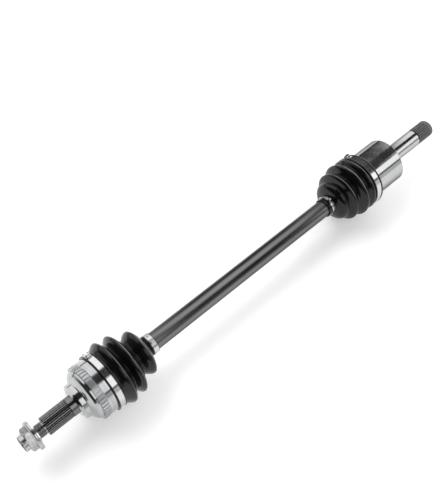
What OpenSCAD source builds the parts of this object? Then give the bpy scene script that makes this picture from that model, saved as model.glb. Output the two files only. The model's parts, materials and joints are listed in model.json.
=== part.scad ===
// Front drive axle of a car: a fixed ball joint at the wheel end, a bar, and a
// plunging tripod joint at the gearbox end, each joint inside a rubber bellows.
// The axle lies along X. The wheel end points to -X, and the origin is on the
// axis in the shoulder face that seats against the wheel hub.

/* [Bar] */
// Diameter of the solid bar between the joints
bar_d = 26; // [20:0.5:34]
// Distance between the centres of the two joints
joint_span = 547; // [350:1:900]
// Step down from the bar to the tops of its spline teeth
bar_spline_step = 1; // [0.6:0.1:3]
// Number of spline teeth on each end of the bar
bar_spline_teeth = 26; // [18:1:36]

/* [Wheel stub] */
// Diameter over the teeth of the wheel stub
wheel_spline_d = 27; // [20:0.5:32]
// Length of the splined stretch of the wheel stub
wheel_spline_l = 38; // [24:0.5:60]
// Number of teeth on the wheel stub
wheel_spline_teeth = 30; // [22:1:36]
// Step up from the wheel spline's teeth to the smooth land behind them
wheel_land_step = 0.35; // [0.1:0.05:2]
// Length of the smooth land
wheel_land_l = 8.4; // [4:0.2:16]
// Outer diameter of the thread
thread_d = 20; // [14:1:27]
// Pitch of the thread
thread_pitch = 1.5; // [1:0.25:2.5]
// Length of the threaded end
thread_l = 33; // [24:0.5:50]
// Gap between the end of the spline and the washer
nut_standoff = 13.3; // [2:0.1:20]

/* [Axle nut] */
// Wall of the nut between its thread and its flats
nut_wall = 5; // [3:0.25:8]
// Length of the hexagon
nut_hex_l = 8.7; // [6:0.1:16]
// How far the flange stands out past the hexagon's corners
nut_flange_rim = 4.1; // [2:0.1:8]
// Thickness of the flange
nut_flange_t = 4.6; // [2:0.1:8]
// Wall of the thin collar that is staked into the thread
nut_collar_wall = 1.5; // [1:0.1:2.5]
// Length of the thin collar
nut_collar_l = 6.1; // [2:0.1:10]
// Thickness of the washer under the nut
washer_t = 1.8; // [1:0.1:4]

/* [Ball joint] */
// Diameter of the six balls
ball_d = 15.88; // [12:0.02:20]
// Wall of the inner race between its spline and its ball grooves
race_wall = 6.2; // [4.5:0.1:9]
// Thickness of the bell's closed end behind the cage
bell_floor = 10.8; // [8:0.2:18]
// Wall of the bell outside its ball grooves
bell_wall = 4.8; // [4:0.1:8]
// Distance from the joint centre to the open edge of the bell
bell_mouth = 23.5; // [20:0.5:30]
// Half of the cage's width along the axle
cage_half_w = 13; // [11:0.25:17]
// Half of the inner race's width along the axle
race_half_w = 12; // [10:0.25:16]

/* [Tone ring] */
// Number of teeth of the speed-sensor ring
tone_teeth = 46; // [30:1:60]
// Thickness of the ring
tone_t = 2.9; // [2.2:0.1:5]
// Width of the ring along the axle
tone_w = 9.6; // [5:0.2:14]

/* [Tripod joint] */
// Wall of the spider's hub outside its spline
spider_wall = 3.3; // [2.5:0.1:7]
// Diameter of the rollers
roller_d = 33.2; // [28:0.2:42]
// Width of the rollers
roller_w = 10.4; // [8:0.2:14]
// Diameter of the needles between roller and trunnion
needle_d = 2; // [1.5:0.1:3]
// Gap between neighbouring needles
needle_space = 0.38; // [0.1:0.02:1]
// Diameter of the trunnions of the spider
trunnion_d = 19.3; // [15:0.1:24]
// Wall of the round housing outside the corners of its roller tracks
tulip_wall = 3; // [1.8:0.1:6]
// Distance from the joint centre to the open edge of the housing
tulip_mouth = 26; // [20:0.5:34]
// Distance from the joint centre to the closed end's outer face
tulip_back = 43.5; // [40:0.2:60]
// Thickness of the closed end
tulip_end_t = 8.3; // [5:0.1:14]

/* [Gearbox stub] */
// Diameter of the polished seal journal
journal_d = 28; // [20:0.1:36]
// Length of the polished seal journal
journal_l = 69.6; // [30:0.1:110]
// Length of the splined end
gearbox_spline_l = 37; // [20:0.5:50]
// Diameter over the teeth of the gearbox spline
gearbox_spline_d = 28; // [20:0.5:34]
// Number of teeth on the gearbox spline
gearbox_spline_teeth = 27; // [20:1:36]

/* [Bellows] */
// Thickness of the rubber in the folds
rubber_t = 1.8; // [1.2:0.1:3]
// How far the largest fold of the wheel-side bellows rises above its cuff
outer_fold_rise = 6.4; // [2:0.2:16]
// How far the largest fold of the gearbox-side bellows rises above its cuff
inner_fold_rise = 2.7; // [1:0.1:12]
// Thickness of the steel clamp bands
band_t = 0.9; // [0.6:0.1:1.5]

/* [Clearances] */
// Radial gap of parts that turn or slide on one another
run_gap = 0.05; // [0.02:0.01:0.1]
// Radial gap of parts that are pressed or clamped on
seat_gap = 0.02; // [0:0.01:0.05]
// Gap between the loose curved parts inside the joints
play = 0.3; // [0.2:0.05:0.5]
// Extra radius of the ball grooves, which lets the joint bend
groove_play = 0.86; // [0.6:0.02:1.2]
// Extra radius of the roller tracks, which lets the joint bend
track_play = 1.25; // [0.9:0.05:2]

/* [Hidden] */
$fn = 96;
eps = 0.01;

// radii that the joints are built up from, starting at the bar
bar_r = bar_d / 2;
bar_spline_r = bar_r - bar_spline_step;
bar_neck_r = bar_r - 1;
ball_r = ball_d / 2;
groove_r = ball_r + groove_play;
ball_track_r = bar_spline_r + race_wall + groove_r;
race_r = ball_track_r - 3.1;
cage_in_r = race_r + play;
cage_out_r = ball_track_r + 3.1;
cavity_r = cage_out_r + play;
cavity_depth = cavity_r - 8.2;
bell_r = ball_track_r + groove_r + bell_wall;
bell_step_r = bell_r - 3.4;
boot_seat_r = bell_r - 2.2;
tone_seat_r = bell_r - 2.6;
tone_r = tone_seat_r + tone_t;

// places along the axle, from the hub shoulder
bx = bell_floor + cavity_depth;
tx = bx + joint_span;
bell_edge = bx + bell_mouth;
tulip_edge = tx - tulip_mouth;
tulip_end = tx + tulip_back;
journal_end = tulip_end + journal_l;
axle_end = journal_end + gearbox_spline_l;
land_start = -wheel_land_l;
spline_start = land_start - wheel_spline_l;
washer_face = spline_start - nut_standoff;
flange_face = washer_face - washer_t - play;
hex_start = flange_face - nut_flange_t;
collar_start = hex_start - nut_hex_l;
collar_end = collar_start - nut_collar_l;

// wheel stub and nut
wheel_land_r = wheel_spline_d / 2 + wheel_land_step;
thread_r = thread_d / 2;
nut_bore_r = thread_r + play;
nut_flat_r = thread_r + nut_wall;
nut_corner_r = nut_flat_r * 2 / sqrt(3);
nut_flange_r = nut_corner_r + nut_flange_rim;
nut_collar_r = nut_bore_r + nut_collar_wall;
stake_deg = 118;

// wheel joint
tone_start = bx - 12;
tone_end = tone_start + tone_w;
tone_tooth_gap = 1.3;
tone_rim_w = 2.6;
groove_end_deg = 17.8;
ball_step_deg = 60;

// bar
race_stop_x = bx + race_half_w + play;
bar_start = bx - race_half_w - 3.6;
hub_half_w = 11;
bar_end = tx + hub_half_w + 3.6;
clip_t = 1.6;
clip_gap_x = 0.2;

// tripod joint
roller_r = roller_d / 2;
track_r = roller_r + track_play;
trunnion_r = trunnion_d / 2;
needle_r = needle_d / 2;
needle_ring_r = trunnion_r + run_gap + needle_r;
needle_count = floor(180 / asin((needle_d + needle_space) / 2 / needle_ring_r));
roller_bore_r = trunnion_r + needle_d + 2 * run_gap;
hub_r = bar_spline_r + spider_wall;
roller_track_r = hub_r + 0.5 + roller_w / 2;
roller_out = roller_track_r + roller_w / 2;
roller_clip_t = 0.9;
trunnion_top = roller_out + 1.4;
track_top = roller_out + 3.6;
track_top_half_w = sqrt(track_r * track_r - pow(track_top - roller_track_r, 2));
centre_bore_r = hub_r + 3;
tulip_r = norm([track_top, track_top_half_w]) + tulip_wall;
mouth_bore_r = tulip_r - 9.1;
tulip_seat_r = tulip_r + 2;
journal_r = journal_d / 2;

// bellows: where their ends sit and how large their cuffs are
outer_cuff_start = bell_edge - 14.7;
outer_band_w = 8;
outer_band_x = outer_cuff_start + 1.9;
outer_cuff_r = boot_seat_r + 3.2;
outer_small_start = bx + 89;
outer_small_l = 12.2;
outer_small_band_x = outer_small_start + 3.2;
outer_small_band_w = 7.7;
small_cuff_r = bar_r + 1.6;
small_lip_r = bar_r + 2.4;
inner_cuff_end = tulip_edge + 11.5;
inner_cuff_l = 14.7;
inner_band_w = 9;
inner_band_x = inner_cuff_end - 2.8 - inner_band_w;
inner_cuff_r = tulip_seat_r + 3.2;
inner_small_start = tx - 104.3;
inner_small_l = 13;
inner_small_band_w = 5.9;
inner_small_band_x = inner_small_start + 6;

// folds as [place along the axle, outer radius], crests and valleys in turn
outer_fold_r = outer_cuff_r + outer_fold_rise;
outer_folds = [
    [bell_edge + 0.6, outer_cuff_r + 1.8],
    [bx + 32.9, outer_fold_r],
    [bx + 42.2, outer_fold_r * 0.752],
    [bx + 51.8, outer_fold_r * 0.944],
    [bx + 64.0, outer_fold_r * 0.556],
    [bx + 77.4, outer_fold_r * 0.717],
    [outer_small_start + 0.6, small_lip_r]
];
inner_fold_r = inner_cuff_r + inner_fold_rise;
inner_folds = [
    [tx - 81.7, inner_fold_r * 0.706],
    [tx - 76.5, inner_fold_r * 0.655],
    [tx - 69.8, inner_fold_r * 0.897],
    [tx - 59.5, inner_fold_r * 0.742],
    [tx - 49.7, inner_fold_r],
    [tx - 40.6, inner_fold_r * 0.865],
    [tx - 33.0, inner_fold_r * 0.982],
    [inner_cuff_end - inner_cuff_l + 0.4, inner_cuff_r - 0.2]
];
inner_cone_start = inner_small_start + inner_small_l;
fold_steps = 6;
fold_power = 0.72;

steel = [0.62, 0.63, 0.65];
dark_steel = [0.24, 0.24, 0.25];
bright_steel = [0.8, 0.81, 0.83];
black_paint = [0.17, 0.17, 0.18];
black_rubber = [0.06, 0.06, 0.065];
zinc = [0.72, 0.73, 0.72];

// ---- helpers ----

// turns a shape drawn along Z so that it lies along X, starting at x
module along(x = 0) {
    translate([x, 0, 0]) rotate([0, 90, 0]) children();
}

// a solid of revolution about the axle, from points [x, radius]
module turned(points) {
    rotate([0, 90, 0]) rotate_extrude() polygon([for (p = points) [p[1], p[0]]]);
}

module rod(x0, x1, r) {
    along(x0) cylinder(h = x1 - x0, r = r);
}

module tube(x0, x1, r_out, r_in) {
    turned([[x0, r_in], [x1, r_in], [x1, r_out], [x0, r_out]]);
}

// outline of straight-sided spline teeth
function spline_points(teeth, tip_r, depth) = [
    for (i = [0 : teeth - 1], k = [0 : 3])
        let (
            step = 360 / teeth,
            a = step * (i + [-0.34, -0.17, 0.17, 0.34][k]),
            r = tip_r - [depth, 0, 0, depth][k]
        )
        [r * cos(a), r * sin(a)]
];

// a splined stretch with both ends chamfered
module splined(x0, x1, teeth, tip_r, depth, chamfer) {
    intersection() {
        along(x0) linear_extrude(x1 - x0) polygon(spline_points(teeth, tip_r, depth));
        turned([
            [x0, 0],
            [x0, tip_r - chamfer],
            [x0 + chamfer, tip_r + eps],
            [x1 - chamfer, tip_r + eps],
            [x1, tip_r - chamfer],
            [x1, 0]
        ]);
    }
}

// a bore that fits over spline teeth
module spline_bore(x0, x1, teeth, tip_r, depth) {
    along(x0) linear_extrude(x1 - x0) polygon(spline_points(teeth, tip_r + run_gap, depth - run_gap));
}

// rounded rings that stand for the thread's turns, as [x, radius] points
function thread_points(x0, turns, pitch, r) = [
    for (i = [0 : turns - 1], k = [0 : 3])
        [x0 + pitch * (i + [0, 0.38, 0.5, 0.88][k]), r - pitch * [0.55, 0, 0, 0.55][k]]
];

// an open snap ring in its groove, with the gap turned to the angle
module snap_ring(x, thick, r_out, r_in, gap_w, angle) {
    rotate([angle, 0, 0]) difference() {
        tube(x, x + thick, r_out, r_in);
        translate([x - 1, 0, -gap_w / 2]) cube([thick + 2, r_out + 1, gap_w]);
    }
}

// eases from one radius to the next along a fold, with broad crests and narrow valleys
function ease(a, b, t) = min(a, b) + abs(b - a) * pow((1 - sign(b - a) * cos(180 * t)) / 2, fold_power);

// outer skin of the folds, from one crest or valley to the next
function fold_skin(folds) = [
    for (i = [0 : len(folds) - 2], k = [0 : fold_steps - 1])
        let (t = k / fold_steps)
        [
            folds[i][0] + (folds[i + 1][0] - folds[i][0]) * t,
            ease(folds[i][1], folds[i + 1][1], t)
        ]
];

// outer skin of a dome that rises steeply from radius r at x to the first crest
function cone_skin(x, r, crest) = [
    for (k = [0 : fold_steps - 1])
        let (t = k / fold_steps)
        [x + (crest[0] - x) * t, r + (crest[1] - r) * pow(sin(90 * t), 0.45)]
];

// the skin's points moved inwards by the rubber's thickness
function inner_skin(skin) = [
    for (i = [0 : len(skin) - 1])
        let (
            a = skin[max(i - 1, 0)],
            b = skin[min(i + 1, len(skin) - 1)],
            d = b - a,
            n = [d[1], -d[0]] / norm(d)
        )
        skin[i] + n * rubber_t
];

function reversed(list) = [for (i = [len(list) - 1 : -1 : 0]) list[i]];

// a clamp band with a crimped ear and an overlapping tail
module clamp_band(x, w, r, ear_r, tail_deg, angle) {
    tube(x, x + w, r + band_t, r);
    rotate([angle, 0, 0]) {
        intersection() {
            rotate([0, 90, 0]) translate([0, 0, x + w * 0.14]) linear_extrude(w * 0.72) difference() {
                translate([0, r + ear_r * 0.75]) circle(r = ear_r);
                translate([0, r + ear_r * 0.75]) circle(r = ear_r - band_t);
            }
            translate([x - 1, r + band_t * 0.4, -2 * ear_r]) cube([w + 2, 3 * ear_r, 4 * ear_r]);
        }
        rotate([-tail_deg, 0, 0]) band_tail(x + w * 0.08, w * 0.84, r + band_t * 0.9, tail_deg - 6);
        rotate([-tail_deg * 0.55, 0, 0]) translate([x + w / 2, r + band_t * 1.5, 0]) rotate([-90, 0, 0])
            cylinder(h = band_t * 1.6, r = w * 0.16, $fn = 24);
    }
}

// the stretch of band that lies over the first turn
module band_tail(x, w, r, sweep) {
    translate([x, 0, 0]) rotate([90, 0, 90]) rotate_extrude(angle = sweep)
        translate([r, 0]) square([band_t, w]);
}

// ---- wheel joint ----

module outer_joint_housing() {
    color(steel) {
        difference() {
            turned([
                [-eps, 0],
                [-eps, wheel_land_r + 4.6],
                [1.4, wheel_land_r + 7.4],
                [3.1, bell_r * 0.643],
                [tone_start * 0.448, bell_r * 0.648],
                [tone_start * 0.495, bell_r * 0.69],
                [tone_start * 0.6, bell_r * 0.78],
                [tone_start * 0.733, bell_r * 0.875],
                [tone_start * 0.838, bell_step_r - 0.5],
                [tone_start * 0.881, bell_step_r],
                [tone_start, bell_step_r],
                [tone_start, tone_seat_r],
                [tone_end, tone_seat_r],
                [tone_end, bell_r - 0.6],
                [tone_end + 0.6, bell_r],
                [outer_cuff_start - 0.8, bell_r],
                [outer_cuff_start - 0.2, bell_r - 0.6],
                [outer_cuff_start - 0.2, boot_seat_r],
                [bell_edge - 1, boot_seat_r],
                [bell_edge, boot_seat_r - 1],
                [bell_edge, 0]
            ]);
            ball_cavity();
            for (i = [0 : 5]) rotate([i * ball_step_deg, 0, 0]) ball_groove();
        }
        rod(land_start, 0, wheel_land_r);
        splined(spline_start, land_start + eps, wheel_spline_teeth, wheel_spline_d / 2, 1.1, 1);
        wheel_thread();
    }
}

// the hollow for cage and race, opened out at the mouth so that the bar can swing
module ball_cavity() {
    intersection() {
        translate([bx, 0, 0]) sphere(r = cavity_r);
        rod(bell_floor, bell_edge, cavity_r + 1);
    }
    turned([
        [bx + 9, 0],
        [bx + 9, cavity_r * 0.948],
        [bell_edge + eps, boot_seat_r - 3.8],
        [bell_edge + eps, 0]
    ]);
}

// a groove that one ball rolls in, closed at the wheel side
module ball_groove() {
    translate([bx, 0, 0]) {
        rotate([0, 0, 30]) rotate_extrude(angle = 60 + groove_end_deg)
            translate([ball_track_r, 0]) circle(r = groove_r);
        rotate([0, 0, 90 + groove_end_deg]) translate([ball_track_r, 0, 0]) sphere(r = groove_r + 0.1);
    }
}

module wheel_thread() {
    turns = floor((thread_l - 2) / thread_pitch);
    start = spline_start - thread_l;
    rod(start, spline_start + eps, thread_r - thread_pitch * 0.54);
    turned(concat(
        [[start + 1, 0]],
        thread_points(start + 1, turns, thread_pitch, thread_r),
        [[start + 1 + turns * thread_pitch, 0]]
    ));
}

module tone_ring() {
    tooth_deg = 360 / tone_teeth;
    x0 = tone_start + seat_gap;
    x1 = tone_end - seat_gap;
    color(dark_steel) difference() {
        turned([
            [x0, tone_seat_r + seat_gap],
            [x0, tone_r - 0.3],
            [x0 + 0.3, tone_r],
            [x1 - tone_rim_w, tone_r],
            [x1 - tone_rim_w + 0.3, tone_r - 0.9],
            [x1, tone_r - 0.9],
            [x1, tone_seat_r + seat_gap]
        ]);
        for (i = [0 : tone_teeth - 1]) rotate([i * tooth_deg, 0, 0])
            translate([x0 - 1, tone_r - 1.7, -tone_tooth_gap / 2]) cube([tone_w + 2, 4, tone_tooth_gap]);
    }
}

module axle_nut() {
    color(zinc) difference() {
        union() {
            along(hex_start - nut_hex_l) intersection() {
                cylinder(h = nut_hex_l + eps, r = nut_corner_r, $fn = 6);
                cylinder(h = nut_hex_l + 8, r1 = nut_flat_r - 0.2, r2 = nut_flat_r + 18);
            }
            turned([
                [hex_start, 0],
                [hex_start, nut_flange_r - 2.2],
                [hex_start + 1, nut_flange_r - 0.5],
                [hex_start + 1.8, nut_flange_r],
                [flange_face - 0.5, nut_flange_r],
                [flange_face, nut_flange_r - 0.5],
                [flange_face, 0]
            ]);
            rod(collar_end, collar_start + eps, nut_collar_r);
        }
        rod(collar_end - 1, flange_face + 1, nut_bore_r);
        translate([collar_end - 1, 0, 0]) rotate([stake_deg, 0, 0])
            translate([0, 0, -1.6]) cube([nut_collar_l * 0.7 + 1, nut_collar_r + 1, 3.2]);
    }
}

module nut_washer() {
    color(bright_steel) tube(washer_face - washer_t, washer_face, nut_flange_r - 0.5, nut_bore_r);
}

module inner_race() {
    color(steel) difference() {
        intersection() {
            translate([bx, 0, 0]) sphere(r = race_r);
            rod(bx - race_half_w, bx + race_half_w, race_r + 1);
        }
        for (i = [0 : 2]) rotate([i * ball_step_deg, 0, 0]) translate([bx, 0, 0])
            rotate_extrude() translate([ball_track_r, 0]) circle(r = groove_r);
        spline_bore(bx - race_half_w - 1, bx + race_half_w + 1, bar_spline_teeth, bar_spline_r, 0.9);
    }
}

module ball_cage() {
    color(dark_steel) difference() {
        along(bx) rotate_extrude() intersection() {
            difference() {
                circle(r = cage_out_r);
                circle(r = cage_in_r);
            }
            translate([0, -cage_half_w]) square([cage_out_r + 1, 2 * cage_half_w]);
        }
        for (i = [0 : 5]) rotate([i * ball_step_deg, 0, 0]) translate([bx, cage_in_r - 6, 0])
            rotate([-90, 0, 0]) cylinder(h = 15, r = ball_r + run_gap);
    }
}

module ball(i) {
    color(bright_steel) rotate([(i - 1) * ball_step_deg, 0, 0])
        translate([bx, ball_track_r, 0]) sphere(r = ball_r);
}

module race_circlip() {
    color(dark_steel)
        snap_ring(bx - race_half_w - clip_gap_x - clip_t, clip_t, bar_spline_r + 1.2, bar_spline_r - 1.7, 4, 0);
}

// ---- bar ----

module axle_shaft() {
    color(black_paint) difference() {
        union() {
            turned([
                [race_stop_x - eps, 0],
                [race_stop_x - eps, bar_r],
                [race_stop_x + 7, bar_r],
                [race_stop_x + 13, bar_neck_r],
                [outer_small_start - 10, bar_neck_r],
                [outer_small_start - 4, bar_r],
                [inner_small_start + inner_small_l + 4, bar_r],
                [inner_small_start + inner_small_l + 10, bar_neck_r],
                [stop_ring_x() - 10, bar_neck_r],
                [stop_ring_x() - 5, bar_spline_r - 0.9],
                [stop_ring_x() - 5, 0]
            ]);
            splined(bar_start, race_stop_x, bar_spline_teeth, bar_spline_r, 0.9, 1);
            splined(stop_ring_x() - 5 - eps, bar_end, bar_spline_teeth, bar_spline_r, 0.9, 1);
        }
        clip_groove(bx - race_half_w - clip_gap_x - clip_t);
        clip_groove(tx + hub_half_w + clip_gap_x);
        clip_groove(stop_ring_x());
    }
}

function stop_ring_x() = tx - hub_half_w - clip_gap_x - clip_t;

module clip_groove(x) {
    tube(x - run_gap, x + clip_t + run_gap, bar_spline_r + 2, bar_spline_r - 1.7 - run_gap);
}

module spider_stop_ring() {
    color(dark_steel) snap_ring(stop_ring_x(), clip_t, bar_spline_r + 1.2, bar_spline_r - 1.7, 4, 60);
}

module spider_circlip() {
    color(dark_steel)
        snap_ring(tx + hub_half_w + clip_gap_x, clip_t, bar_spline_r + 1.2, bar_spline_r - 1.7, 4, 60);
}

// ---- tripod joint ----

module tripod_spider() {
    color(steel) difference() {
        union() {
            turned([
                [tx - hub_half_w, 0],
                [tx - hub_half_w, hub_r - 1],
                [tx - hub_half_w + 1, hub_r],
                [tx + hub_half_w - 1, hub_r],
                [tx + hub_half_w, hub_r - 1],
                [tx + hub_half_w, 0]
            ]);
            for (i = [1 : 3]) on_trunnion(i) trunnion();
        }
        spline_bore(tx - hub_half_w - 1, tx + hub_half_w + 1, bar_spline_teeth, bar_spline_r, 0.9);
    }
}

// puts a shape drawn along Z on trunnion i
module on_trunnion(i) {
    translate([tx, 0, 0]) rotate([(i - 1) * 120, 0, 0]) children();
}

module trunnion() {
    groove_z = roller_out + 0.1;
    rotate_extrude() polygon([
        [0, bar_spline_r + 1],
        [trunnion_r, bar_spline_r + 1],
        [trunnion_r, groove_z],
        [trunnion_r - 0.9, groove_z],
        [trunnion_r - 0.9, groove_z + roller_clip_t],
        [trunnion_r - 0.3, groove_z + roller_clip_t],
        [trunnion_r - 0.8, trunnion_top],
        [0, trunnion_top]
    ]);
}

module roller(i) {
    color(bright_steel) on_trunnion(i) difference() {
        intersection() {
            translate([0, 0, roller_track_r]) sphere(r = roller_r);
            translate([0, 0, roller_track_r - roller_w / 2]) cylinder(h = roller_w, r = roller_r + 1);
        }
        cylinder(h = roller_out + 1, r = roller_bore_r);
    }
}

module roller_needles(i) {
    length = roller_w - 0.6;
    color(bright_steel) on_trunnion(i) for (k = [0 : needle_count - 1]) rotate([0, 0, k * 360 / needle_count])
        translate([needle_ring_r, 0, roller_track_r - length / 2])
            cylinder(h = length, r = needle_r, $fn = 24);
}

module roller_clip(i) {
    groove_z = roller_out + 0.1;
    color(dark_steel) on_trunnion(i) difference() {
        translate([0, 0, groove_z + run_gap]) cylinder(h = roller_clip_t - 2 * run_gap, r = roller_bore_r + 0.85);
        translate([0, 0, groove_z - 1]) cylinder(h = 3, r = trunnion_r - 0.9 + run_gap);
        translate([0, -1.6, groove_z - 1]) cube([roller_bore_r + 2, 3.2, 3]);
    }
}

module tripod_housing() {
    color(bright_steel) {
        difference() {
            turned([
                [tulip_edge, 0],
                [tulip_edge, tulip_seat_r - 1],
                [tulip_edge + 1, tulip_seat_r],
                [inner_cuff_end - 0.5, tulip_seat_r],
                [inner_cuff_end + 2.4, tulip_r],
                [tulip_end - 1.2, tulip_r],
                [tulip_end, tulip_r - 1.2],
                [tulip_end, journal_r + 3.4],
                [tulip_end + 2.2, journal_r + 1.6],
                [tulip_end + 3.4, journal_r + 1.4],
                [tulip_end + 3.8, journal_r],
                [tulip_end + 3.8, 0]
            ]);
            tripod_cavity();
        }
        rod(tulip_end, journal_end, journal_r);
        difference() {
            splined(journal_end - eps, axle_end, gearbox_spline_teeth, gearbox_spline_d / 2, 1, 2.4);
            stub_groove();
        }
    }
}

// three roller tracks that run together in the middle, and the flare at the mouth
module tripod_cavity() {
    depth = tulip_end - tulip_end_t - tulip_edge;
    for (i = [0 : 2]) rotate([i * 120, 0, 0]) intersection() {
        translate([tulip_edge - 1, 0, roller_track_r]) rotate([0, 90, 0]) cylinder(h = depth + 1, r = track_r);
        translate([tulip_edge - 2, -track_r - 1, 0]) cube([depth + 4, 2 * track_r + 2, track_top]);
    }
    rod(tulip_edge - 1, tulip_end - tulip_end_t, centre_bore_r);
    turned([
        [tulip_edge - eps, 0],
        [tulip_edge - eps, mouth_bore_r],
        [tx + 2, centre_bore_r - 0.1],
        [tx + 2, 0]
    ]);
}

function stub_clip_x() = axle_end - 6.5;

module stub_groove() {
    tube(stub_clip_x() - run_gap, stub_clip_x() + clip_t + run_gap, journal_r + 2, gearbox_spline_d / 2 - 2.2);
}

module stub_circlip() {
    color(dark_steel)
        snap_ring(stub_clip_x(), clip_t, gearbox_spline_d / 2 - 0.15, gearbox_spline_d / 2 - 2.1, 5, 200);
}

// ---- bellows and clamps ----

module outer_boot() {
    skin = fold_skin(outer_folds);
    x0 = outer_cuff_start;
    xs = outer_small_start;
    seat = boot_seat_r + seat_gap;
    grip = bar_r + seat_gap;
    color(black_rubber) turned(concat(
        [
            [bell_edge + 0.4, seat],
            [x0, seat],
            [x0, outer_cuff_r + 1.8],
            [outer_band_x - seat_gap, outer_cuff_r + 1.8],
            [outer_band_x - seat_gap, outer_cuff_r],
            [outer_band_x + outer_band_w + seat_gap, outer_cuff_r],
            [outer_band_x + outer_band_w + seat_gap, outer_cuff_r + 1.6],
            [bell_edge - 2.6, outer_cuff_r + 1.7],
            [bell_edge - 1.9, outer_cuff_r + 0.9],
            [bell_edge - 0.7, outer_cuff_r + 0.9]
        ],
        skin,
        [
            [xs + 0.9, small_lip_r],
            [outer_small_band_x - seat_gap, small_lip_r],
            [outer_small_band_x - seat_gap, small_cuff_r],
            [outer_small_band_x + outer_small_band_w + seat_gap, small_cuff_r],
            [outer_small_band_x + outer_small_band_w + seat_gap, small_lip_r - 0.4],
            [xs + outer_small_l, small_lip_r - 0.4],
            [xs + outer_small_l, grip],
            [xs - 1.5, grip]
        ],
        reversed([for (p = inner_skin(skin)) if (p[0] > bell_edge + 3 && p[0] < xs - 1.6) p])
    ));
}

module inner_boot() {
    skin = concat(cone_skin(inner_cone_start, small_lip_r, inner_folds[0]), fold_skin(inner_folds));
    xs = inner_small_start;
    xe = inner_cuff_end;
    seat = tulip_seat_r + seat_gap;
    grip = bar_r + seat_gap;
    color(black_rubber) turned(concat(
        [
            [inner_cone_start + 1.8, grip],
            [xs, grip],
            [xs, small_lip_r - 0.4],
            [inner_small_band_x - seat_gap, small_lip_r - 0.4],
            [inner_small_band_x - seat_gap, small_cuff_r],
            [inner_small_band_x + inner_small_band_w + seat_gap, small_cuff_r],
            [inner_small_band_x + inner_small_band_w + seat_gap, small_lip_r]
        ],
        skin,
        [
            [xe - inner_cuff_l + 0.9, inner_cuff_r + 1.2],
            [inner_band_x - seat_gap, inner_cuff_r + 1.2],
            [inner_band_x - seat_gap, inner_cuff_r],
            [inner_band_x + inner_band_w + seat_gap, inner_cuff_r],
            [inner_band_x + inner_band_w + seat_gap, inner_cuff_r + 1.6],
            [xe, inner_cuff_r + 1.4],
            [xe, tulip_seat_r + 0.6],
            [xe - 0.6, seat],
            [tulip_edge - 0.4, seat]
        ],
        reversed([for (p = inner_skin(skin)) if (p[0] > inner_cone_start + 2 && p[0] < tulip_edge - 2) p])
    ));
}

module outer_boot_large_clamp() {
    color(bright_steel) clamp_band(outer_band_x, outer_band_w, outer_cuff_r + seat_gap, 3.2, 52, 57);
}

module outer_boot_small_clamp() {
    color(bright_steel)
        clamp_band(outer_small_band_x, outer_small_band_w, small_cuff_r + seat_gap, 2.4, 80, 118);
}

module inner_boot_large_clamp() {
    color(bright_steel) clamp_band(inner_band_x, inner_band_w, inner_cuff_r + seat_gap, 3.2, 52, 48);
}

module inner_boot_small_clamp() {
    color(bright_steel)
        clamp_band(inner_small_band_x, inner_small_band_w, small_cuff_r + seat_gap, 2.4, 80, 100);
}

outer_joint_housing();
tone_ring();
axle_nut();
nut_washer();
inner_race();
ball_cage();
race_circlip();
for (i = [1 : 6]) ball(i);
outer_boot();
outer_boot_large_clamp();
outer_boot_small_clamp();
axle_shaft();
spider_stop_ring();
spider_circlip();
tripod_spider();
for (i = [1 : 3]) roller(i);
for (i = [1 : 3]) roller_needles(i);
for (i = [1 : 3]) roller_clip(i);
inner_boot();
inner_boot_large_clamp();
inner_boot_small_clamp();
tripod_housing();
stub_circlip();
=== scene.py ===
import json
import math

import bmesh
import bpy
from mathutils import Matrix, Vector


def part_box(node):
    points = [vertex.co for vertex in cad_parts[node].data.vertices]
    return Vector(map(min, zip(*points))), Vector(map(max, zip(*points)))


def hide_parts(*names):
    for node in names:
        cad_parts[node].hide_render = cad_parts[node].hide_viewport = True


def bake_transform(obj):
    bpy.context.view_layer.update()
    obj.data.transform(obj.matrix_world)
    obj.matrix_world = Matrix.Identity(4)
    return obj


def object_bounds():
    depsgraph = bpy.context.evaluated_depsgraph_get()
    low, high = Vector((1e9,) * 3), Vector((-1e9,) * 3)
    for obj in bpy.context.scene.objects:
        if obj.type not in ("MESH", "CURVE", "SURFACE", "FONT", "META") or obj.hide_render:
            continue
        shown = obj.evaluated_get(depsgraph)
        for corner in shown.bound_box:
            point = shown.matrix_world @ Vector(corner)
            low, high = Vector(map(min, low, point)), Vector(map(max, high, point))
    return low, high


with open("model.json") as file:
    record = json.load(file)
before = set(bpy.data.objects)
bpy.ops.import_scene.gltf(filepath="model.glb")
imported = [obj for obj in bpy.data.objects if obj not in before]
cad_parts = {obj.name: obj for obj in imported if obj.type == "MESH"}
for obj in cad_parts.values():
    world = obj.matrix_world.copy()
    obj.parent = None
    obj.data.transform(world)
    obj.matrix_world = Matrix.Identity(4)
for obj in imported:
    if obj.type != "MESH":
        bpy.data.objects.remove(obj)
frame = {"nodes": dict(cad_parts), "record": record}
CAD_LOW, CAD_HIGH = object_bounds()


# ---- places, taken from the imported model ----

def span(node):
    """Lowest and highest x of a CAD node."""
    low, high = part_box(node)
    return low[0], high[0]


def radius(node):
    """Outer radius of a CAD node that is round about the axle."""
    low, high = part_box(node)
    return min(-low[1], high[1], -low[2], high[2])


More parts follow.
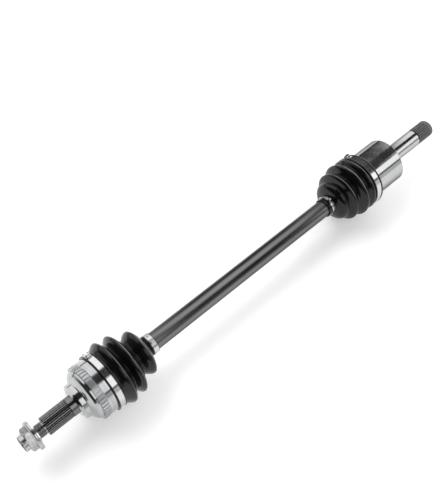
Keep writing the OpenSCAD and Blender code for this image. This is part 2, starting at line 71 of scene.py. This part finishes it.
SHOULDER = 0.0
JOINT_X = sum(span("ball_1")) / 2
TRIPOD_X = sum(span("roller_1")) / 2
BAR_R = radius("axle_shaft")
OUTER_BOOT = span("outer_boot")
INNER_BOOT = span("inner_boot")
THREAD_LENGTH = 0.033
THREAD_END_X = span("outer_joint_housing")[0] + THREAD_LENGTH
LAND_START_X = SHOULDER - 0.0082
GEARBOX_SPLINE_LENGTH = 0.037
GEARBOX_SPLINE_X = span("tripod_housing")[1] - GEARBOX_SPLINE_LENGTH
WHEEL_TIP_R = 0.0135
GEARBOX_TIP_R = 0.014
# How far below the tooth tips the painted shade in the spline gaps begins.
TOOTH_TIP = 0.0004
FLOOR_Z = CAD_LOW[2]


# ---- small node helpers ----

class Tree:
    """A node tree, with short calls for the nodes used here."""

    def __init__(self, tree):
        self.tree = tree
        self.tree.nodes.clear()

    def add(self, kind, **values):
        node = self.tree.nodes.new(kind)
        for key, value in values.items():
            setattr(node, key, value)
        return node

    def link(self, a, b):
        self.tree.links.new(a, b)

    def noise(self, vector, scale, detail=3.0, rough=0.5):
        node = self.add("ShaderNodeTexNoise")
        node.inputs["Scale"].default_value = scale
        node.inputs["Detail"].default_value = detail
        node.inputs["Roughness"].default_value = rough
        self.link(vector, node.inputs["Vector"])
        return node.outputs["Fac"]

    def ramp(self, value, stops, smooth=True):
        """stops are (place, grey or colour)."""
        node = self.add("ShaderNodeValToRGB")
        node.color_ramp.interpolation = "LINEAR" if smooth else "CONSTANT"
        elements = node.color_ramp.elements
        while len(elements) < len(stops):
            elements.new(0.5)
        for element, (place, colour) in zip(elements, stops):
            element.position = place
            grey = isinstance(colour, (int, float))
            element.color = (colour,) * 3 + (1,) if grey else tuple(colour) + (1,)
        self.link(value, node.inputs["Fac"])
        return node.outputs["Color"]

    def math(self, kind, a, b=0.0, clamp=False):
        node = self.add("ShaderNodeMath", operation=kind, use_clamp=clamp)
        for i, value in enumerate((a, b)):
            if isinstance(value, (int, float)):
                node.inputs[i].default_value = value
            else:
                self.link(value, node.inputs[i])
        return node.outputs[0]

    def mix(self, factor, a, b):
        """Colour a where the factor is 0, and b where it is 1."""
        node = self.add("ShaderNodeMix", data_type="RGBA")
        for socket, value in ((node.inputs[0], factor), (node.inputs[6], a), (node.inputs[7], b)):
            if isinstance(value, (int, float)):
                socket.default_value = value
            elif isinstance(value, tuple):
                socket.default_value = value + (1,)
            else:
                self.link(value, socket)
        return node.outputs[2]

    def split(self, vector):
        """The x, y and z of a vector."""
        node = self.add("ShaderNodeSeparateXYZ")
        self.link(vector, node.inputs[0])
        return node.outputs

    def turn_about_x(self, y, z):
        """Angle about the axle as a share of a turn: 0.5 on the +Y side and 0.75 straight up."""
        join = self.add("ShaderNodeCombineXYZ")
        self.link(y, join.inputs[0])
        self.link(z, join.inputs[1])
        node = self.add("ShaderNodeTexGradient", gradient_type="RADIAL")
        self.link(join.outputs[0], node.inputs[0])
        return node.outputs["Fac"]


class Nodes(Tree):
    """A material made of one principled shader."""

    def __init__(self, name):
        self.material = bpy.data.materials.new(name)
        self.material.use_nodes = True
        super().__init__(self.material.node_tree)
        output = self.add("ShaderNodeOutputMaterial")
        self.shader = self.add("ShaderNodeBsdfPrincipled")
        self.link(self.shader.outputs[0], output.inputs[0])
        self.object_xyz = self.add("ShaderNodeTexCoord").outputs["Object"]

    def set(self, **values):
        for key, value in values.items():
            self.shader.inputs[key.replace("_", " ")].default_value = value

    def scaled(self, x, y, z):
        """Object coordinates stretched by x, y and z."""
        node = self.add("ShaderNodeMapping")
        node.inputs["Scale"].default_value = (x, y, z)
        self.link(self.object_xyz, node.inputs["Vector"])
        return node.outputs[0]

    def bump(self, height, strength, distance):
        node = self.add("ShaderNodeBump")
        node.inputs["Strength"].default_value = strength
        node.inputs["Distance"].default_value = distance
        self.link(height, node.inputs["Height"])
        if self.shader.inputs["Normal"].links:
            before = self.shader.inputs["Normal"].links[0].from_socket
            self.link(before, node.inputs["Normal"])
        self.link(node.outputs[0], self.shader.inputs["Normal"])

    def colour(self, socket):
        self.link(socket, self.shader.inputs["Base Color"])

    def roughness(self, socket):
        self.link(socket, self.shader.inputs["Roughness"])

    def axial(self):
        """Place along the axle, in metres."""
        return self.split(self.object_xyz)[0]

    def off_axle(self):
        """Distance from the axle's centre line, in metres."""
        _, y, z = self.split(self.object_xyz)
        squares = self.math("ADD", self.math("MULTIPLY", y, y), self.math("MULTIPLY", z, z))
        return self.math("SQRT", squares)

    def step(self, value, edge, width=0.0003):
        """0 below the edge and 1 above it."""
        low = edge - width / 2
        return self.math("MULTIPLY", self.math("SUBTRACT", value, low), 1 / width, clamp=True)


def turned_metal(name, colour, rough):
    """Machined metal with fine rings left by the turning tool."""
    n = Nodes(name)
    n.set(Metallic=1.0)
    rings = n.noise(n.scaled(1.0, 0.02, 0.02), 1400, 2.0)
    cloud = n.noise(n.scaled(1, 1, 1), 60, 4.0)
    low = tuple(c * 0.95 for c in colour)
    high = tuple(c * 1.05 for c in colour)
    n.colour(n.mix(n.ramp(rings, [(0.35, 0.0), (0.65, 1.0)]), low, high))
    n.roughness(n.ramp(cloud, [(0.3, rough * 0.8), (0.7, rough * 1.25)]))
    n.bump(rings, 0.12, 0.00004)
    return n.material


# ---- materials ----

def bell_steel():
    """The wheel joint's forging: grey thread, dark spline and land, bright turned bell; near-black
    painted shade fills the gaps between the spline teeth.
    """
    n = Nodes("wheel_joint_steel")
    n.set(Metallic=1.0)
    x = n.axial()
    bright = n.step(x, SHOULDER - 0.0002)
    neck = n.math("SUBTRACT", 1.0, n.step(x, THREAD_END_X))
    rings = n.noise(n.scaled(1.0, 0.02, 0.02), 1500, 2.0)
    cloud = n.noise(n.scaled(1, 1, 1), 55, 5.0)
    grain = n.noise(n.scaled(1, 1, 1), 900, 3.0)
    steel = n.mix(n.ramp(rings, [(0.3, 0.0), (0.7, 1.0)]), (0.40, 0.405, 0.41), (0.52, 0.525, 0.53))
    steel = n.mix(n.ramp(cloud, [(0.45, 0.0), (0.8, 0.5)]), steel, (0.32, 0.325, 0.33))
    spotted = n.ramp(grain, [(0.35, 0.0), (0.65, 1.0)])
    dark = n.mix(spotted, (0.22, 0.22, 0.222), (0.29, 0.29, 0.292))
    # Below the tooth tips the spline turns near-black: painted shade in the gaps between the teeth.
    painted_gap_shade_mask = n.step(n.off_axle(), WHEEL_TIP_R - TOOTH_TIP)
    dark = n.mix(painted_gap_shade_mask, (0.012, 0.012, 0.012), dark)
    dark = n.mix(neck, dark, (0.26, 0.26, 0.27))
    land = n.step(x, LAND_START_X)
    ringed = n.ramp(rings, [(0.35, 0.0), (0.65, 1.0)])
    dark = n.mix(land, dark, n.mix(ringed, (0.14, 0.14, 0.142), (0.2, 0.2, 0.202)))
    n.colour(n.mix(bright, dark, steel))
    smooth = n.ramp(cloud, [(0.3, 0.09), (0.7, 0.16)])
    coarse = n.mix(neck, n.ramp(grain, [(0.3, 0.22), (0.7, 0.32)]), (0.14, 0.14, 0.14))
    coarse = n.mix(land, coarse, (0.15, 0.15, 0.15))
    n.roughness(n.mix(bright, coarse, smooth))
    n.bump(rings, 0.04, 0.00003)
    n.bump(grain, 0.04, 0.00003)
    return n.material


def stub_steel():
    """The gearbox joint's forging: finely turned housing and journal, dark spline with near-black
    painted shade in the gaps between its teeth.
    """
    n = Nodes("gearbox_joint_steel")
    n.set(Metallic=1.0, Specular_Tint=(0.3, 0.3, 0.3, 1))
    dark_part = n.step(n.axial(), GEARBOX_SPLINE_X)
    rings = n.noise(n.scaled(1.0, 0.02, 0.02), 1300, 2.0)
    cloud = n.noise(n.scaled(1, 1, 1), 45, 5.0)
    grain = n.noise(n.scaled(1, 1, 1), 900, 3.0)
    steel = n.mix(n.ramp(rings, [(0.3, 0.0), (0.7, 1.0)]), (0.48, 0.485, 0.49), (0.56, 0.565, 0.57))
    spotted = n.ramp(grain, [(0.35, 0.0), (0.65, 1.0)])
    dark = n.mix(spotted, (0.17, 0.17, 0.172), (0.24, 0.24, 0.242))
    # Below the tooth tips the spline turns near-black: painted shade in the gaps between the teeth.
    painted_gap_shade_mask = n.step(n.off_axle(), GEARBOX_TIP_R - TOOTH_TIP)
    dark = n.mix(painted_gap_shade_mask, (0.015, 0.015, 0.015), dark)
    n.colour(n.mix(dark_part, steel, dark))
    smooth = n.ramp(cloud, [(0.3, 0.07), (0.7, 0.12)])
    coarse = n.ramp(grain, [(0.3, 0.24), (0.7, 0.34)])
    n.roughness(n.mix(dark_part, smooth, coarse))
    n.bump(rings, 0.02, 0.00002)
    return n.material


def band_steel():
    """Stainless strip, rolled along its length and slightly wavy."""
    n = Nodes("clamp_stainless")
    n.set(Metallic=1.0)
    lines = n.noise(n.scaled(1.0, 0.03, 0.03), 2600, 2.0)
    wave = n.noise(n.scaled(1, 1, 1), 38, 3.0)
    rolled = n.ramp(lines, [(0.3, 0.0), (0.7, 1.0)])
    n.colour(n.mix(rolled, (0.54, 0.545, 0.555), (0.64, 0.645, 0.655)))
    n.roughness(n.ramp(wave, [(0.3, 0.08), (0.7, 0.14)]))
    n.bump(lines, 0.04, 0.00002)
    n.bump(wave, 0.08, 0.0002)
    return n.material


def zinc():
    """Satin zinc plate with a faint mottle."""
    n = Nodes("zinc_plate")
    n.set(Metallic=1.0)
    mottle = n.noise(n.scaled(1, 1, 1), 260, 5.0, 0.6)
    cloud = n.noise(n.scaled(1, 1, 1), 70, 3.0)
    spots = n.ramp(mottle, [(0.35, 0.0), (0.7, 1.0)])
    n.colour(n.mix(spots, (0.38, 0.385, 0.38), (0.52, 0.52, 0.515)))
    n.roughness(n.ramp(cloud, [(0.3, 0.16), (0.7, 0.28)]))
    n.bump(mottle, 0.08, 0.00005)
    return n.material


def boot_rubber():
    """Moulded black rubber, smooth with a waxy bloom in places."""
    n = Nodes("boot_rubber")
    n.set(Metallic=0.0, Specular_IOR_Level=0.35)
    bloom = n.noise(n.scaled(1, 1, 1), 42, 5.0, 0.6)
    skin = n.noise(n.scaled(1, 1, 1), 1500, 3.0)
    pale = n.ramp(bloom, [(0.45, 0.0), (0.75, 1.0)])
    n.colour(n.mix(pale, (0.003, 0.003, 0.0033), (0.007, 0.007, 0.0073)))
    n.roughness(n.ramp(bloom, [(0.3, 0.10), (0.7, 0.18)]))
    n.bump(skin, 0.04, 0.00003)
    n.bump(bloom, 0.06, 0.0003)
    return n.material


def bar_paint():
    """Satin grey-black paint over the turned bar."""
    n = Nodes("bar_paint")
    n.set(Metallic=0.95, Specular_Tint=(0.35, 0.35, 0.35, 1))
    orange = n.noise(n.scaled(0.4, 1, 1), 700, 3.0)
    cloud = n.noise(n.scaled(0.3, 1, 1), 40, 4.0)
    speck = n.noise(n.scaled(1, 1, 1), 1800, 2.0)
    cloudy = n.ramp(cloud, [(0.35, 0.0), (0.7, 1.0)])
    base = n.mix(cloudy, (0.15, 0.151, 0.153), (0.18, 0.181, 0.183))
    n.colour(n.mix(n.ramp(speck, [(0.66, 0.0), (0.74, 0.5)]), base, (0.25, 0.25, 0.255)))
    n.roughness(n.ramp(cloud, [(0.3, 0.11), (0.7, 0.16)]))
    n.bump(orange, 0.03, 0.00003)
    return n.material


MATERIALS = {
    "forged_steel": bell_steel(),
    "machined_steel": stub_steel(),
    "clamp_steel": band_steel(),
    "zinc_nut": zinc(),
    "boot_rubber": boot_rubber(),
    "bar_paint": bar_paint(),
    "ring_steel": turned_metal("ring_steel", (0.44, 0.445, 0.45), 0.3),
    "washer_steel": turned_metal("washer_steel", (0.78, 0.78, 0.79), 0.22),
    "race_steel": turned_metal("race_steel", (0.52, 0.53, 0.55), 0.2),
    "cage_steel": turned_metal("cage_steel", (0.24, 0.24, 0.26), 0.35),
    "spring_steel": turned_metal("spring_steel", (0.18, 0.18, 0.2), 0.32),
    "ball_steel": turned_metal("ball_steel", (0.8, 0.8, 0.82), 0.06),
}


def dress(obj, material):
    """Puts one material in every slot of an object."""
    if not obj.material_slots:
        obj.data.materials.append(material)
    for slot in obj.material_slots:
        slot.link = "OBJECT"
        slot.material = material


for part in frame["record"]["subparts"]:
    dress(frame["nodes"][part["node"]], MATERIALS[part["material_slot"]])


# ---- bellows ----

FOLD_POWER = 0.72
DOME_POWER = 0.45
RUBBER = 0.0018
EDGE_ROUND = 0.0005
BAND_GAP = 0.0001


def ease(a, b, t):
    """From radius a to b; crests are broad and valleys are narrow."""
    share = (1 - math.cos(math.pi * t)) / 2
    if b > a:
        return a + (b - a) * share ** FOLD_POWER
    return b + (a - b) * (1 - share) ** FOLD_POWER


def folded(turns, steps=16):
    """Outer skin through crests and valleys, as (x, r) points."""
    points = []
    for (x0, r0), (x1, r1) in zip(turns, turns[1:]):
        for k in range(steps):
            t = k / steps
            points.append((x0 + (x1 - x0) * t, ease(r0, r1, t)))
    points.append(turns[-1])
    return points


def dome(low, high, steps=16):
    """Outer skin that rises steeply from one point and flattens out towards the other."""
    points = []
    for k in range(steps):
        t = k / steps
        rise = math.sin(math.pi / 2 * t) ** DOME_POWER
        points.append((low[0] + (high[0] - low[0]) * t, low[1] + (high[1] - low[1]) * rise))
    return points


def thickened(skin, wall):
    """The skin's points moved inwards by the wall."""
    inner = []
    for i, (x, r) in enumerate(skin):
        a, b = skin[max(i - 1, 0)], skin[min(i + 1, len(skin) - 1)]
        dx, dr = b[0] - a[0], b[1] - a[1]
        size = math.hypot(dx, dr)
        inner.append((x + wall * dr / size, r - wall * dx / size))
    return inner


def rounded(points, bevel, steps=4):
    """A closed outline with its corners rounded off."""
    out = []
    count = len(points)
    for i, p in enumerate(points):
        p = Vector(p)
        a, b = Vector(points[i - 1]), Vector(points[(i + 1) % count])
        la, lb = (a - p).length, (b - p).length
        if la < 1e-6 or lb < 1e-6:
            continue
        turn = (p - a).normalized().dot((b - p).normalized())
        if turn > 0.95:
            out.append(tuple(p))
            continue
        cut = min(bevel, la * 0.45, lb * 0.45)
        start, end = p + (a - p) / la * cut, p + (b - p) / lb * cut
        for k in range(steps + 1):
            t = k / steps
            out.append(tuple((1 - t) ** 2 * start + 2 * t * (1 - t) * p + t ** 2 * end))
    return out


def lathe(name, outline, segments=160):
    """Turns a closed (x, r) outline about the axle."""
    mesh = bpy.data.meshes.new(name)
    bm = bmesh.new()
    rings = []
    for x, r in outline:
        ring = []
        for k in range(segments):
            a = 2 * math.pi * k / segments
            ring.append(bm.verts.new((x, r * math.cos(a), r * math.sin(a))))
        rings.append(ring)
    for one, two in zip(rings, rings[1:] + rings[:1]):
        for k in range(segments):
            m = (k + 1) % segments
            bm.faces.new((one[k], one[m], two[m], two[k]))
    bmesh.ops.recalc_face_normals(bm, faces=bm.faces)
    bm.to_mesh(mesh)
    bm.free()
    mesh.shade_smooth()
    obj = bpy.data.objects.new(name, mesh)
    bpy.context.scene.collection.objects.link(obj)
    return obj


def between(points, low, high):
    return [p for p in points if low < p[0] < high]


def outer_bellows():
    """Three big folds that shrink towards the bar."""
    band = span("outer_boot_large_clamp")
    small = span("outer_boot_small_clamp")
    start, end = OUTER_BOOT
    big = radius("outer_boot")
    bell = radius("outer_joint_housing")
    cuff, seat = bell + 0.001, bell - 0.00218
    bell_edge = start + 0.0147
    collar, groove = BAR_R + 0.0024, BAR_R + 0.0016
    grip = BAR_R + 0.00002
    foot = small[0] - 0.0032
    turns = [
        (bell_edge + 0.0006, cuff + 0.0018),
        (JOINT_X + 0.0329, big),
        (JOINT_X + 0.0422, big * 0.752),
        (JOINT_X + 0.0518, big * 0.944),
        (JOINT_X + 0.0640, big * 0.556),
        (JOINT_X + 0.0774, big * 0.717),
        (foot + 0.0006, collar),
    ]
    skin = folded(turns)
    inner = thickened(skin, RUBBER)
    outline = [
        (bell_edge + 0.0004, seat), (start, seat), (start, cuff + 0.0018),
        (band[0] - BAND_GAP, cuff + 0.0018), (band[0] - BAND_GAP, cuff),
        (band[1] + BAND_GAP, cuff), (band[1] + BAND_GAP, cuff + 0.0016),
        (bell_edge - 0.0026, cuff + 0.0017), (bell_edge - 0.0019, cuff + 0.0009),
        (bell_edge - 0.0007, cuff + 0.0009),
    ]
    outline += skin
    outline += [
        (foot + 0.0012, collar - 0.0006), (foot + 0.0018, collar - 0.0006), (foot + 0.0022, collar),
        (small[0] - BAND_GAP, collar), (small[0] - BAND_GAP, groove),
        (small[1] + BAND_GAP, groove), (small[1] + BAND_GAP, collar - 0.0004),
        (end, collar - 0.0004), (end, grip), (foot - 0.0015, grip),
    ]
    outline += list(reversed(between(inner, bell_edge + 0.003, foot - 0.0016)))
    boot = lathe("wheel_side_bellows", rounded(outline, EDGE_ROUND))
    dress(boot, MATERIALS["boot_rubber"])
    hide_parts("outer_boot")
    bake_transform(boot)
    return boot


def inner_bellows():
    """A cone of four folds; it is split where bending and sliding meet."""
    band = span("inner_boot_large_clamp")
    small = span("inner_boot_small_clamp")
    start, end = INNER_BOOT
    big = radius("inner_boot")
    seat = radius("tripod_housing") + 0.00002
    cuff = seat + 0.0032
    collar, groove = BAR_R + 0.0024, BAR_R + 0.0016
    grip = BAR_R + 0.00002
    foot = start + 0.013
    cuff_start = end - 0.0143
    turns = [
        (TRIPOD_X - 0.0817, big * 0.706),
        (TRIPOD_X - 0.0765, big * 0.655),
        (TRIPOD_X - 0.0698, big * 0.897),
        (TRIPOD_X - 0.0595, big * 0.742),
        (TRIPOD_X - 0.0497, big),
        (TRIPOD_X - 0.0406, big * 0.865),
        (TRIPOD_X - 0.0330, big * 0.982),
        (cuff_start, cuff - 0.0002),
    ]
    split = TRIPOD_X - 0.0497
    skin = dome((foot, collar), turns[0]) + folded(turns)
    inner = thickened(skin, RUBBER)
    first = [
        (foot + 0.0018, grip), (start, grip), (start, collar - 0.0004),
        (small[0] - BAND_GAP, collar - 0.0004), (small[0] - BAND_GAP, groove),
        (small[1] + BAND_GAP, groove), (small[1] + BAND_GAP, collar),
    ]
    first += [p for p in skin[1:] if p[0] <= split]
    first += list(reversed(between(inner, foot + 0.002, split)))
    near = lathe("gearbox_bellows_bar_half", rounded(first, EDGE_ROUND))
    second = [p for p in skin if p[0] >= split - 1e-6]
    second += [
        (cuff_start + 0.0005, cuff + 0.0012), (band[0] - BAND_GAP, cuff + 0.0012),
        (band[0] - BAND_GAP, cuff), (band[1] + BAND_GAP, cuff), (band[1] + BAND_GAP, cuff + 0.0016),
        (end, cuff + 0.0014), (end, seat + 0.0006), (end - 0.0006, seat), (TRIPOD_X - 0.0264, seat),
    ]
    second += list(reversed(between(inner, split, TRIPOD_X - 0.028)))
    far = lathe("gearbox_bellows_joint_half", rounded(second, EDGE_ROUND))
    for half in (near, far):
        dress(half, MATERIALS["boot_rubber"])
    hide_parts("inner_boot")
    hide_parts("inner_boot")
    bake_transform(near)
    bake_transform(far)
    return near, far


outer_bellows()
inner_bellows()


# ---- camera: it stands over the wheel end and looks along the axle ----

CAMERA_DISTANCE = 1.0543
CAMERA_FOOT_X = -0.1732
CAMERA_ASIDE = -0.0016
ALONG_DEG = 24.0
TILT_DEG = 2.39
ROLL_DEG = 38.066
FOCAL = 58.18


def camera_axes():
    """Position, right, up and back of the camera, rolled about the axle until right is level."""
    along, tilt, roll = (math.radians(v) for v in (ALONG_DEG, TILT_DEG, ROLL_DEG))
    turn = math.atan2(
        math.cos(tilt) * math.sin(roll),
        -(math.sin(along) * math.cos(roll) - math.cos(along) * math.sin(tilt) * math.sin(roll)),
    )
    axle = Vector((1, 0, 0))
    out = Vector((0, math.cos(turn), math.sin(turn)))
    across = axle.cross(out)
    ahead = axle * math.sin(along) - out * math.cos(along)
    u = axle * math.cos(along) + out * math.sin(along)
    look = ahead * math.cos(tilt) - across * math.sin(tilt)
    v = across * math.cos(tilt) + ahead * math.sin(tilt)
    right = u * math.cos(roll) + v * math.sin(roll)
    up = u * math.sin(roll) - v * math.cos(roll)
    place = Vector((CAMERA_FOOT_X, 0, 0)) + out * CAMERA_DISTANCE + v * CAMERA_ASIDE
    return place, right, up, -look


def add_camera():
    place, right, up, back = camera_axes()
    data = bpy.data.cameras.new("camera")
    data.sensor_width = 36
    data.lens = FOCAL
    camera = bpy.data.objects.new("camera", data)
    bpy.context.scene.collection.objects.link(camera)
    rows = Matrix((right, up, back)).transposed().to_4x4()
    camera.matrix_world = Matrix.Translation(place) @ rows
    bpy.context.scene.camera = camera


add_camera()


# ---- studio ----

FLOOR_GLOW = 0.3
WHEEL_END_GREY = 0.05
WHEEL_END_FADE = (-0.64, -0.28)
GEARBOX_END_GREY = 4.0
GEARBOX_END_FADE = (0.69, 0.73)
ROUND_LIGHTS = [
    (0, 0.3), (7, 0.35), (11, 1.45), (72, 1.45), (80, 0.03), (112, 0.03), (119, 1.5), (153, 1.5),
    (156, 0.06), (160, 0.06), (163, 0.6), (180, 0.6),
]
BAR_REACH = (0.285, 0.515)
BAR_LIGHTS = [
    (0, 0.03), (34, 0.12), (70, 1.5), (94, 1.5), (119, 0.0), (150, 0.0), (172, 0.8), (180, 0.9),
]
TULIP_REACH = (0.53, 0.618)
TULIP_LIGHTS = [
    (0, 0.06), (124, 0.04), (128, 1.6), (151, 1.6), (155, 0.1), (160, 0.1), (163, 0.7), (180, 0.7),
]


def add_floor():
    mesh = bpy.data.meshes.new("floor")
    size = 60.0
    z = FLOOR_Z - 0.0005
    corners = [(-size, -size, z), (size, -size, z), (size, size, z), (-size, size, z)]
    mesh.from_pydata(corners, [], [(0, 1, 2, 3)])
    floor = bpy.data.objects.new("floor", mesh)
    bpy.context.scene.collection.objects.link(floor)
    n = Nodes("floor_white")
    n.set(Roughness=0.7, Specular_IOR_Level=0.1, Emission_Strength=FLOOR_GLOW)
    n.shader.inputs["Base Color"].default_value = (0.8, 0.8, 0.8, 1)
    n.shader.inputs["Emission Color"].default_value = (1, 1, 1, 1)
    dress(floor, n.material)


def strips(tree, turn, lights):
    """Long light strips beside the axle, as (angle up from the +Y side, brightness)."""
    return tree.ramp(turn, [(0.5 + angle / 360, grey) for angle, grey in lights])


def by_x(tree, along, stops):
    """A ramp over a direction's x, which runs from -1 at the wheel end to 1 at the gearbox end."""
    return tree.ramp(along, [(0.5 + x / 2, grey) for x, grey in stops])


def zone(tree, along, reach, soft):
    """1 where a direction's x lies within the reach, and 0 outside."""
    low, high = reach
    return by_x(tree, along, [(low - soft, 0), (low + soft, 1), (high - soft, 1), (high + soft, 0)])


def add_world():
    """A dark studio with long light strips, whose places change along the axle."""
    world = bpy.data.worlds.new("studio")
    world.use_nodes = True
    tree = Tree(world.node_tree)
    out = tree.add("ShaderNodeOutputWorld")
    sky = tree.add("ShaderNodeBackground")
    sky.inputs["Strength"].default_value = 1.0
    tree.link(sky.outputs[0], out.inputs[0])
    x, y, z = tree.split(tree.add("ShaderNodeTexCoord").outputs["Generated"])
    turn = tree.turn_about_x(y, z)
    along = tree.math("ADD", tree.math("MULTIPLY", x, 0.5), 0.5)
    light = strips(tree, turn, ROUND_LIGHTS)
    light = tree.mix(zone(tree, along, BAR_REACH, 0.025), light, strips(tree, turn, BAR_LIGHTS))
    light = tree.mix(zone(tree, along, TULIP_REACH, 0.003), light, strips(tree, turn, TULIP_LIGHTS))
    wheel_end = by_x(tree, along, [(WHEEL_END_FADE[0], 1), (WHEEL_END_FADE[1], 0)])
    light = tree.mix(wheel_end, light, (WHEEL_END_GREY,) * 3)
    gearbox_end = by_x(tree, along, [(GEARBOX_END_FADE[0], 0), (GEARBOX_END_FADE[1], 1)])
    light = tree.mix(gearbox_end, light, (GEARBOX_END_GREY,) * 3)
    tree.link(light, sky.inputs["Color"])
    bpy.context.scene.world = world


def add_light(name, place, target, size, energy):
    data = bpy.data.lights.new(name, "AREA")
    data.shape = "RECTANGLE"
    data.size, data.size_y = size
    data.energy = energy
    light = bpy.data.objects.new(name, data)
    light.visible_glossy = False
    light.location = place
    light.rotation_euler = (Vector(target) - Vector(place)).to_track_quat("-Z", "Y").to_euler()
    bpy.context.scene.collection.objects.link(light)


add_floor()
add_world()
MIDDLE = (CAD_LOW + CAD_HIGH) / 2
add_light("key", (MIDDLE[0] - 0.3, 1.1, 1.5), tuple(MIDDLE), (1.6, 0.8), 14)
bpy.context.scene.view_settings.view_transform = "Standard"
